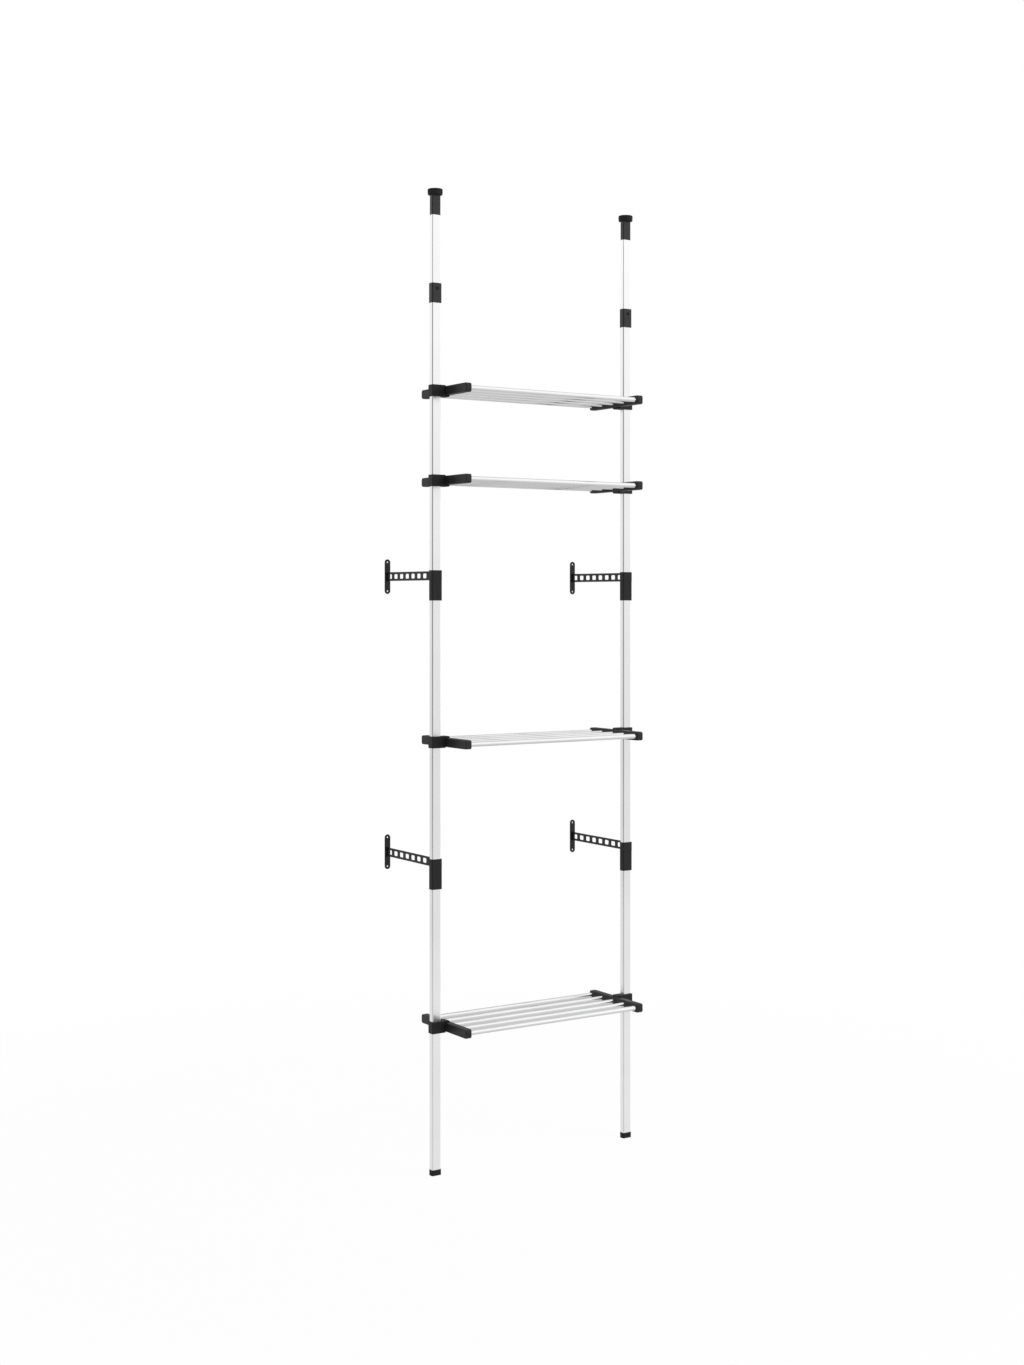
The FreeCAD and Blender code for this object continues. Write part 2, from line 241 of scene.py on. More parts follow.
class EffectLibrary:
    """The effects that several finishes share, each a node group that is built once.

    Each pair is where a mask starts and where it is full.
    """

    CLOUDS: Pair = (0.3, 0.7)
    SPECKLE_FINENESS = 1.7
    CELL_SHARE, SPECKLE_SHARE = 0.6, 0.5
    EDGE_RADIUS = 0.6 * MM
    EDGE_TURN: Pair = (0.01, 0.16)
    WEAR_AND_HIGHLIGHT_PATCHES: Pair = (0.32, 0.72)
    UPWARD: Pair = (0.5, 1.0)
    DUSTY_PATCHES: Pair = (0.3, 0.75)
    BROAD_SMUDGES: Pair = (0.45, 0.7)
    FINE_SMUDGES: Pair = (0.35, 0.65)
    SMUDGE_FINENESS = 6.0

    def __init__(self) -> None:
        """Build every group."""
        trees = (self.drawn_lines(), self.mould_grain(), self.edge_wear_and_highlight(), self.settled_dust(),
                 self.handling())
        self.groups = {tree.name: tree for tree in trees}

    def place(self, sheet: NodeSheet, name: str, **inputs: Any) -> bpy.types.NodeOutputs:
        """Put a group into a material with that material's own values.

        Args:
            sheet: the material's node sheet.
            name: the group's name.
            inputs: its inputs, with an underscore for each space.

        Returns:
            The group node's outputs.
        """
        node = sheet.add("ShaderNodeGroup", node_tree=self.groups[name])
        sheet.feed(node, **inputs)
        return node.outputs

    def drawn_lines(self) -> bpy.types.NodeTree:
        """Fine die lines along local Z, as noise stretched along it, and slow cloudy variation.

        Returns:
            The group, with Lines and Clouds between 0 and 1.
        """
        effect = Effect("drawn_lines", {"Line Width": 0.4 * MM, "Line Length": 0.4, "Cloud Size": 0.15},
                        ("Lines", "Clouds"))
        sheet, entry = effect.start()
        across = sheet.math("DIVIDE", 1.0, entry["Line Width"])
        along = sheet.math("DIVIDE", 1.0, entry["Line Length"])
        stretch = sheet.add("ShaderNodeCombineXYZ", {0: across, 1: across, 2: along}).outputs[0]
        stretched = sheet.vector("MULTIPLY", entry["Vector"], stretch).outputs[0]
        lines = sheet.noise(stretched, 1.0, detail=3.0, roughness=0.62)
        clouds = sheet.noise(entry["Vector"], sheet.math("DIVIDE", 1.0, entry["Cloud Size"]), detail=3.0)
        return effect.finish(sheet, lines, sheet.smooth(clouds, *self.CLOUDS))

    def mould_grain(self) -> bpy.types.NodeTree:
        """Spark-eroded grain of a moulded part, as cell distance and noise, and a slow mottle.

        Returns:
            The group, with Height and Mottle between 0 and 1.
        """
        effect = Effect("mould_grain", {"Grain": 0.35 * MM, "Mottle Size": 0.02}, ("Height", "Mottle"))
        sheet, entry = effect.start()
        scale = sheet.math("DIVIDE", 1.0, entry["Grain"])
        cells = sheet.add("ShaderNodeTexVoronoi", {"Vector": entry["Vector"], "Scale": scale},
                          feature="SMOOTH_F1").outputs["Distance"]
        finer = sheet.math("MULTIPLY", scale, self.SPECKLE_FINENESS)
        speckle = sheet.noise(entry["Vector"], finer, detail=2.0)
        height = sheet.math("ADD", sheet.math("MULTIPLY", cells, self.CELL_SHARE),
                            sheet.math("MULTIPLY", speckle, self.SPECKLE_SHARE), clamp=True)
        mottle = sheet.noise(entry["Vector"], sheet.math("DIVIDE", 1.0, entry["Mottle Size"]),
                             detail=4.0, roughness=0.6)
        return effect.finish(sheet, height, sheet.smooth(mottle, *self.CLOUDS))

    def edge_wear_and_highlight(self) -> bpy.types.NodeTree:
        """Rubbed edges, also used as a painted edge highlight: where a rounded normal departs from the true
        one, broken up by noise.

        Returns:
            The group, with Mask between 0 and 1.
        """
        effect = Effect("edge_wear_and_highlight", {"Amount": 0.5, "Patch": 4 * MM}, ("Mask",))
        sheet, entry = effect.start()
        rounded_normal = sheet.add("ShaderNodeBevel", {"Radius": self.EDGE_RADIUS}, samples=4).outputs[0]
        normal = sheet.add("ShaderNodeNewGeometry").outputs["Normal"]
        agree = sheet.vector("DOT_PRODUCT", rounded_normal, normal).outputs["Value"]
        edge = sheet.smooth(sheet.math("SUBTRACT", 1.0, agree), *self.EDGE_TURN)
        noise = sheet.noise(entry["Vector"], sheet.math("DIVIDE", 1.0, entry["Patch"]), detail=3.0)
        # Mask of rubbed edges; the plastics also use it to paint a highlight along edges.
        worn_and_highlight = sheet.math("MULTIPLY", edge, sheet.smooth(noise, *self.WEAR_AND_HIGHLIGHT_PATCHES))
        return effect.finish(sheet, sheet.math("MULTIPLY", worn_and_highlight, entry["Amount"], clamp=True))

    def settled_dust(self) -> bpy.types.NodeTree:
        """Dust that lies on upward faces, thicker in patches.

        Returns:
            The group, with Mask between 0 and 1.
        """
        effect = Effect("settled_dust", {"Amount": 0.3, "Patch": 8 * MM}, ("Mask",))
        sheet, entry = effect.start()
        normal = sheet.add("ShaderNodeNewGeometry").outputs["Normal"]
        lift = sheet.add("ShaderNodeSeparateXYZ", {0: normal}).outputs[2]
        noise = sheet.noise(entry["Vector"], sheet.math("DIVIDE", 1.0, entry["Patch"]),
                            detail=5.0, roughness=0.7)
        dusty = sheet.math("MULTIPLY", sheet.smooth(lift, *self.UPWARD),
                           sheet.smooth(noise, *self.DUSTY_PATCHES))
        return effect.finish(sheet, sheet.math("MULTIPLY", dusty, entry["Amount"], clamp=True))

    def handling(self) -> bpy.types.NodeTree:
        """Faint smudges that hands leave, as two noises multiplied.

        Returns:
            The group, with Mask between 0 and 1.
        """
        effect = Effect("handling", {"Amount": 0.3, "Size": 0.03}, ("Mask",))
        sheet, entry = effect.start()
        scale = sheet.math("DIVIDE", 1.0, entry["Size"])
        broad = sheet.noise(entry["Vector"], scale, detail=2.0)
        fine = sheet.noise(entry["Vector"], sheet.math("MULTIPLY", scale, self.SMUDGE_FINENESS), detail=4.0)
        smudge = sheet.math("MULTIPLY", sheet.smooth(broad, *self.BROAD_SMUDGES),
                            sheet.smooth(fine, *self.FINE_SMUDGES))
        return effect.finish(sheet, sheet.math("MULTIPLY", smudge, entry["Amount"], clamp=True))


# ---------------------------------------------------------------------------------------------
# Finishes
# ---------------------------------------------------------------------------------------------
def shaded(colour: Colour, share: float) -> Colour:
    """A colour with every channel brought to the given share."""
    return tuple(share * channel for channel in colour)


class Finish(ABC):
    """What every finish shares: a material with one Principled shader."""

    name: str

    def build(self, effects: EffectLibrary) -> bpy.types.Material:
        """Make the material.

        Args:
            effects: the shared node groups.

        Returns:
            The finished material.
        """
        material = bpy.data.materials.new(self.name)
        material.use_nodes = True
        sheet = NodeSheet(material.node_tree)
        place = sheet.add("ShaderNodeTexCoord").outputs["Object"]
        sheet.feed(sheet.tree.nodes["Principled BSDF"], **self.draw(sheet, effects, place))
        return material

    @abstractmethod
    def draw(self, sheet: NodeSheet, effects: EffectLibrary, place: Socket) -> dict[str, Any]:
        """Draw the finish's patterns.

        Args:
            sheet: the material's node sheet.
            effects: the shared node groups.
            place: the Object coordinates that all patterns read.

        Returns:
            What each input of the shader gets, with an underscore for each space in its name.
        """


@dataclass(frozen=True)
class SatinAluminium(Finish):
    """Anodised aluminium tube with faint die lines along its run."""

    name: str
    run: Run
    bright: Colour
    dull: Colour
    roughness: float
    line_width: float = 0.5 * MM
    line_depth: float = 0.0015 * MM
    line_roughness: float = 0.06
    cloud_share: float = 0.45
    smudge: float = 0.5
    smudge_size: float = 0.06
    smudge_roughness: float = 0.07
    painted_shade_on_corners: float = 0.0
    painted_shade_turn: Pair = (0.04, 0.30)
    painted_shade_colour: Colour = (0.10, 0.10, 0.105)

    def draw(self, sheet: NodeSheet, effects: EffectLibrary, place: Socket) -> dict[str, Any]:
        """Draw die lines, slow clouds and smudges, and painted shade on upright corners where asked for.

        Args:
            sheet: the material's node sheet.
            effects: the shared node groups.
            place: the Object coordinates that all patterns read.

        Returns:
            What each input of the shader gets.
        """
        turned = sheet.add("ShaderNodeMapping", {"Vector": place, "Rotation": self.run.value}).outputs[0]
        drawn = effects.place(sheet, "drawn_lines", Vector=turned, Line_Width=self.line_width)
        smudge = effects.place(sheet, "handling", Vector=place, Amount=self.smudge,
                               Size=self.smudge_size)["Mask"]
        tone = sheet.math("ADD", sheet.math("MULTIPLY", drawn["Clouds"], self.cloud_share),
                          sheet.math("MULTIPLY", drawn["Lines"], 1.0 - self.cloud_share))
        colour = sheet.mix(tone, self.dull, self.bright)
        # Painted shade: the colour darkens where the normal turns between X and Y, standing in for the dark
        # reflection along the tube's upright corners.
        if self.painted_shade_on_corners:
            normal = sheet.add("ShaderNodeNewGeometry").outputs["Normal"]
            facing = sheet.add("ShaderNodeSeparateXYZ", {0: normal}).outputs
            turn = sheet.math("ABSOLUTE", sheet.math("MULTIPLY", facing[0], facing[1]))
            corner = sheet.math("MULTIPLY", sheet.smooth(turn, *self.painted_shade_turn), self.painted_shade_on_corners)
            colour = sheet.mix(corner, colour, self.painted_shade_colour)
        roughness = sheet.math("MULTIPLY_ADD", drawn["Lines"], self.line_roughness,
                               self.roughness - self.line_roughness / 2)
        roughness = sheet.math("MULTIPLY_ADD", smudge, self.smudge_roughness, roughness)
        return {"Base_Color": colour, "Metallic": 1.0, "Roughness": roughness,
                "Normal": sheet.bump(drawn["Lines"], self.line_depth)}


@dataclass(frozen=True)
class MouldedPlastic(Finish):
    """Black moulded plastic with a fine spark-eroded grain, lighter edges that are partly wear and partly
    painted highlight, and a little dust.
    """

    name: str
    colour: Colour
    worn_and_highlight: Colour
    roughness: float
    ior: float = 1.36
    grain: float = 0.35 * MM
    grain_depth: float = 0.02 * MM
    wear_and_highlight: float = 0.5
    dust: float = 0.10
    dust_colour: Colour = (0.30, 0.29, 0.28)
    smudge: float = 0.6
    deep_share: float = 0.7
    mottle_roughness: float = 0.08
    smudge_polish: float = 0.10
    wear_polish: float = 0.12
    dust_roughness: float = 0.3

    def draw(self, sheet: NodeSheet, effects: EffectLibrary, place: Socket) -> dict[str, Any]:
        """Draw the grain, the lighter edges (wear and painted highlight), the dust and the smudges.

        Args:
            sheet: the material's node sheet.
            effects: the shared node groups.
            place: the Object coordinates that all patterns read.

        Returns:
            What each input of the shader gets.
        """
        grain = effects.place(sheet, "mould_grain", Vector=place, Grain=self.grain)
        wear_and_highlight = effects.place(sheet, "edge_wear_and_highlight", Vector=place, Amount=self.wear_and_highlight)["Mask"]
        dust = effects.place(sheet, "settled_dust", Vector=place, Amount=self.dust)["Mask"]
        smudge = effects.place(sheet, "handling", Vector=place, Amount=self.smudge)["Mask"]
        colour = sheet.mix(grain["Mottle"], shaded(self.colour, self.deep_share), self.colour)
        # Edges lighten towards the edge colour: partly wear, partly a painted highlight along rims and
        # seams.
        colour = sheet.mix(wear_and_highlight, colour, self.worn_and_highlight)
        colour = sheet.mix(dust, colour, self.dust_colour)
        roughness = sheet.math("MULTIPLY_ADD", grain["Mottle"], self.mottle_roughness, self.roughness)
        roughness = sheet.math("MULTIPLY_ADD", smudge, -self.smudge_polish, roughness)
        roughness = sheet.math("MULTIPLY_ADD", wear_and_highlight, -self.wear_polish, roughness)
        roughness = sheet.math("MULTIPLY_ADD", dust, self.dust_roughness, roughness, clamp=True)
        return {"Base_Color": colour, "Roughness": roughness, "IOR": self.ior,
                "Normal": sheet.bump(grain["Height"], self.grain_depth)}


@dataclass(frozen=True)
class MouldedRubber(Finish):
    """Matt black rubber with a dry bloom."""

    name: str
    colour: Colour
    bloom: Colour
    roughness: float
    ior: float = 1.38
    grain: float = 0.6 * MM
    grain_depth: float = 0.03 * MM
    mottle_size: float = 0.012
    mottle_roughness: float = 0.12
    bloom_share: float = 0.35
    wear_and_highlight: float = 0.45
    dust: float = 0.18
    dust_colour: Colour = (0.26, 0.25, 0.24)

    def draw(self, sheet: NodeSheet, effects: EffectLibrary, place: Socket) -> dict[str, Any]:
        """Draw the grain, the bloom, the rubbed edges and the dust.

        Args:
            sheet: the material's node sheet.
            effects: the shared node groups.
            place: the Object coordinates that all patterns read.

        Returns:
            What each input of the shader gets.
        """
        grain = effects.place(sheet, "mould_grain", Vector=place, Grain=self.grain,
                              Mottle_Size=self.mottle_size)
        wear_and_highlight = effects.place(sheet, "edge_wear_and_highlight", Vector=place, Amount=self.wear_and_highlight)["Mask"]
        dust = effects.place(sheet, "settled_dust", Vector=place, Amount=self.dust)["Mask"]
        bloom = sheet.math("MULTIPLY", grain["Mottle"], self.bloom_share)
        colour = sheet.mix(bloom, self.colour, self.bloom)
        colour = sheet.mix(wear_and_highlight, colour, self.bloom)
        colour = sheet.mix(dust, colour, self.dust_colour)
        roughness = sheet.math("MULTIPLY_ADD", grain["Mottle"], self.mottle_roughness, self.roughness)
        return {"Base_Color": colour, "Roughness": roughness, "IOR": self.ior,
                "Normal": sheet.bump(grain["Height"], self.grain_depth)}


@dataclass(frozen=True)
class PowderCoat(Finish):
    """Black powder coat on steel strap: orange peel, a satin coat and chipped edges."""

    name: str
    colour: Colour
    steel: Colour
    roughness: float
    ior: float = 1.40
    peel: float = 1.1 * MM
    peel_depth: float = 0.03 * MM
    mottle_size: float = 0.03
    mottle_roughness: float = 0.08
    deep_share: float = 0.75
    wear_and_highlight: float = 0.55
    wear_patch: float = 2.5 * MM
    chip_edges: Pair = (0.30, 0.45)
    chip_metal: float = 0.7

    def draw(self, sheet: NodeSheet, effects: EffectLibrary, place: Socket) -> dict[str, Any]:
        """Draw the orange peel and the chips.

        Args:
            sheet: the material's node sheet.
            effects: the shared node groups.
            place: the Object coordinates that all patterns read.

        Returns:
            What each input of the shader gets.
        """
        peel = effects.place(sheet, "mould_grain", Vector=place, Grain=self.peel,
                             Mottle_Size=self.mottle_size)
        wear_and_highlight = effects.place(sheet, "edge_wear_and_highlight", Vector=place, Amount=self.wear_and_highlight,
                             Patch=self.wear_patch)["Mask"]
        chip = sheet.smooth(wear_and_highlight, *self.chip_edges)
        coat = sheet.mix(peel["Mottle"], shaded(self.colour, self.deep_share), self.colour)
        roughness = sheet.math("MULTIPLY_ADD", peel["Mottle"], self.mottle_roughness, self.roughness)
        return {"Base_Color": sheet.mix(chip, coat, self.steel), "Roughness": roughness,
                "Metallic": sheet.math("MULTIPLY", chip, self.chip_metal), "IOR": self.ior,
                "Normal": sheet.bump(peel["Height"], self.peel_depth)}


@dataclass(frozen=True)
class BrightSteel(Finish):
    """Drawn or plated steel of springs and screws."""

    name: str
    colour: Colour
    stain: Colour
    roughness: float
    grain: float = 0.25 * MM
    grain_depth: float = 0.006 * MM
    mottle_size: float = 0.004
    mottle_roughness: float = 0.12
    wear_and_highlight: float = 0.7
    worn_gain: float = 1.5
    worn_lift: float = 0.08

    def draw(self, sheet: NodeSheet, effects: EffectLibrary, place: Socket) -> dict[str, Any]:
        """Draw the stains and the brighter rubbed edges.

        Args:
            sheet: the material's node sheet.
            effects: the shared node groups.
            place: the Object coordinates that all patterns read.

        Returns:
            What each input of the shader gets.
        """
        grain = effects.place(sheet, "mould_grain", Vector=place, Grain=self.grain,
                              Mottle_Size=self.mottle_size)
        wear_and_highlight = effects.place(sheet, "edge_wear_and_highlight", Vector=place, Amount=self.wear_and_highlight)["Mask"]
        worn_and_highlight = tuple(min(1.0, self.worn_gain * channel + self.worn_lift) for channel in self.colour)
        colour = sheet.mix(wear_and_highlight, sheet.mix(grain["Mottle"], self.stain, self.colour), worn_and_highlight)
        roughness = sheet.math("MULTIPLY_ADD", grain["Mottle"], self.mottle_roughness, self.roughness)
        return {"Base_Color": colour, "Metallic": 1.0, "Roughness": roughness,
                "Normal": sheet.bump(grain["Height"], self.grain_depth)}


FINISHES = {
    # The pole tube's corner setting paints shade along its upright corners.
    "pole_aluminium": SatinAluminium("pole_aluminium_satin", Run.UPRIGHT, (0.93, 0.93, 0.935),
                                     (0.87, 0.87, 0.88), 0.20, painted_shade_on_corners=0.17),
    "shelf_aluminium": SatinAluminium("shelf_aluminium_satin", Run.ACROSS, (0.94, 0.94, 0.945),
                                      (0.88, 0.88, 0.89), 0.16, line_width=0.35 * MM),
    # The plastics' edge colours and amounts paint lighter edges that are partly wear and partly painted
    # highlight.
    "black_pole_plastic": MouldedPlastic("pole_plastic_black", (0.012, 0.012, 0.0125),
                                         (0.24, 0.24, 0.242), 0.50, wear_and_highlight=1.0),
    "black_smooth_plastic": MouldedPlastic("smooth_plastic_black", (0.014, 0.014, 0.0145),
                                           (0.12, 0.12, 0.122), 0.30, ior=1.46, grain_depth=0.006 * MM,
                                           wear_and_highlight=0.6),
    "black_shelf_plastic": MouldedPlastic("shelf_plastic_black", (0.028, 0.028, 0.0285),
                                          (0.20, 0.20, 0.202), 0.36, ior=1.30, grain=0.45 * MM,
                                          grain_depth=0.012 * MM, wear_and_highlight=0.8, dust=0.14),
    "black_rubber": MouldedRubber("rubber_black", (0.008, 0.008, 0.0083), (0.026, 0.0255, 0.025), 0.70),
    "black_arm": PowderCoat("powder_coat_black", (0.008, 0.008, 0.0085), (0.16, 0.16, 0.16), 0.42),
    "spring_steel": BrightSteel("spring_wire", (0.58, 0.58, 0.59), (0.42, 0.42, 0.44), 0.24),
    "dark_steel": BrightSteel("screw_blackened", (0.10, 0.10, 0.105), (0.05, 0.05, 0.055), 0.34),
}


class PaintShop:
    """Builds each finish once and puts it on nodes and new pieces."""

    def __init__(self) -> None:
        """Build the shared effects and every material."""
        effects = EffectLibrary()
        self.materials = {slot: finish.build(effects) for slot, finish in FINISHES.items()}
        self.slots = {part["node"]: part["material_slot"] for part in frame["record"]["subparts"]}

    def dress_node(self, node: str) -> bpy.types.Object:
        """Give a node of the frame the finish of its own slot.

        Args:
            node: the node's name.

        Returns:
            The node's object.
        """
        piece = frame["nodes"][node]
        for slot in piece.material_slots:
            slot.material = self.materials[self.slots[node]]
        log.info("dressed %s in %s", node, self.slots[node])
        return piece

    def dress_piece(self, piece: bpy.types.Object, like: str) -> None:
        """Give a new piece the finish of the node that it stands for.

        Args:
            piece: the new piece.
            like: the node's name.
        """
        slot = self.slots[like]
        piece.data.materials.append(self.materials[slot])


# ---------------------------------------------------------------------------------------------
# Surfaces: points on a grid of two parameters, worked out as whole arrays
# ---------------------------------------------------------------------------------------------
def around(count: int) -> np.ndarray:
    """Angles of a full turn, evenly spaced, without the closing one."""
    return np.arange(count) * (2 * math.pi / count)


def grid_faces(rows: int, columns: int) -> np.ndarray:
    """Quads of a grid that wraps round its columns.

    Args:
        rows: number of rows of points.
        columns: number of points round each row.

    Returns:
        Corner indices, four to a face, outward where the rows run up a surface seen from outside.
    """
    row, column = np.meshgrid(np.arange(rows - 1), np.arange(columns), indexing="ij")
    here, above, next_column = row * columns, (row + 1) * columns, (column + 1) % columns
    corners = (here + column, here + next_column, above + next_column, above + column)
    return np.stack(corners, axis=-1).reshape(-1, 4)


def piece_from(name: str, parts: list[Surface], smooth_angle: float = 40.0) -> bpy.types.Object:
    """Object at the origin made of closed surfaces.

    Args:
        name: the piece's name.
        parts: points and faces of each closed surface.
        smooth_angle: edges that turn more than this many degrees stay sharp.

    Returns:
        The new object, linked to the scene.
    """
    points, faces, first = [], [], 0
    for part_points, part_faces in parts:
        points.append(part_points)
        faces += [[first + corner for corner in face] for face in part_faces]
        first += len(part_points)
    mesh = bpy.data.meshes.new(name)
    mesh.from_pydata(np.concatenate(points), [], faces)
    mesh.validate()
    mesh.shade_smooth()
    mesh.set_sharp_from_angle(angle=math.radians(smooth_angle))
    piece = bpy.data.objects.new(name, mesh)
    bpy.context.scene.collection.objects.link(piece)
    return piece


def turned_surface(rows: np.ndarray, radii: np.ndarray, centre: Point, axis: Axis) -> Surface:
    """Closed surface round an axis: each row is a ring whose radius may change with the angle.

    Point (i, j) lies at height rows[i] along the axis and radii[i, j] from it at angle j.  The
    first and last rings are closed with a point on the axis.

    Args:
        rows: height of each ring.
        radii: radius of each ring at each angle.
        centre: where the axis starts.
        axis: direction of the axis.

    Returns:
        Points and faces.
    """
    count, columns = radii.shape
    angle = around(columns)
    heights = np.repeat(rows[:, None], columns, axis=1)
    rings = np.stack((radii * np.cos(angle), radii * np.sin(angle), heights), axis=-1).reshape(-1, 3)
    local = np.concatenate((rings, [(0, 0, rows[0]), (0, 0, rows[-1])]))
    start, end, last = count * columns, count * columns + 1, (count - 1) * columns
    faces = grid_faces(count, columns).tolist()
    faces += [[start, (j + 1) % columns, j] for j in range(columns)]
    faces += [[end, last + j, last + (j + 1) % columns] for j in range(columns)]
    return local @ np.array(axis.value, float) + np.array(centre), faces


def lathe(profile: list[Pair], centre: Point, axis: Axis, columns: int) -> Surface:
    """Surface of revolution of a (radius, height) profile.

    Args:
        profile: points of the outline, from the start of the axis to its end.
        centre: where the axis starts.
        axis: direction of the axis.
        columns: points round the axis.

    Returns:
        Points and faces.
    """
    outline = np.array(profile, float)
    radii = np.repeat(outline[:, :1], columns, axis=1)
    return turned_surface(outline[:, 1], radii, centre, axis)


def rounded(corners: list[tuple[float, float, float]], steps: int = 5) -> list[Pair]:
    """Outline with its corners rounded by quarter-turn-like arcs.

    Each corner (u, v, radius) gives a quadratic curve from a point one radius before the corner
    to one a radius after it.

    Args:
        corners: corner places and radii; the two ends have radius 0.
        steps: points in each arc.

    Returns:
        The points of the outline.
    """
    points: list[Pair] = []
    for index, (u, v, radius) in enumerate(corners):
        if radius == 0.0:
            points.append((u, v))
            continue
        corner = np.array((u, v))
        before = np.array(corners[index - 1][:2]) - corner
        after = np.array(corners[index + 1][:2]) - corner
        start = corner + before / np.linalg.norm(before) * radius
        end = corner + after / np.linalg.norm(after) * radius
        t = np.linspace(0, 1, steps)[:, None]
        arc = (1 - t) ** 2 * start + 2 * t * (1 - t) * corner + t ** 2 * end
        points += [tuple(point) for point in arc]
    return points


# ---------------------------------------------------------------------------------------------
# Sub-assemblies
# ---------------------------------------------------------------------------------------------
@dataclass(frozen=True)
class Softener:
    """Rounds the sharp edges of a node with modifiers that leave its mesh alone."""

    width: float
    segments: int = 2
    weld: float = 0.002 * MM
    angle: float = math.radians(40)

    def apply_to(self, piece: bpy.types.Object) -> None:
        """Add a weld and a bevel to the piece.

        Args:
            piece: object of a node of the frame.
        """
        weld = piece.modifiers.new("join_facets", "WELD")
        weld.merge_threshold = self.weld
        bevel = piece.modifiers.new("soft_edges", "BEVEL")
        bevel.width = self.width
        bevel.segments = self.segments
        bevel.limit_method = "ANGLE"
        bevel.angle_limit = self.angle
        bevel.harden_normals = True


@dataclass
class Pole:
    """Fixed parts of one pole: foot, three tubes, sleeves, rings and the lock collar."""

    side: Side
    paint: PaintShop
    members: tuple[str, ...] = ("foot", "lower_tube", "middle_tube", "upper_tube", "lower_sleeve",
                                "upper_sleeve", "lower_ring", "upper_ring", "lock_collar")

    def build(self) -> None:
        """Dress the pole's nodes."""
        for member in self.members:
            self.paint.dress_node(f"{member}_{self.side.value}")


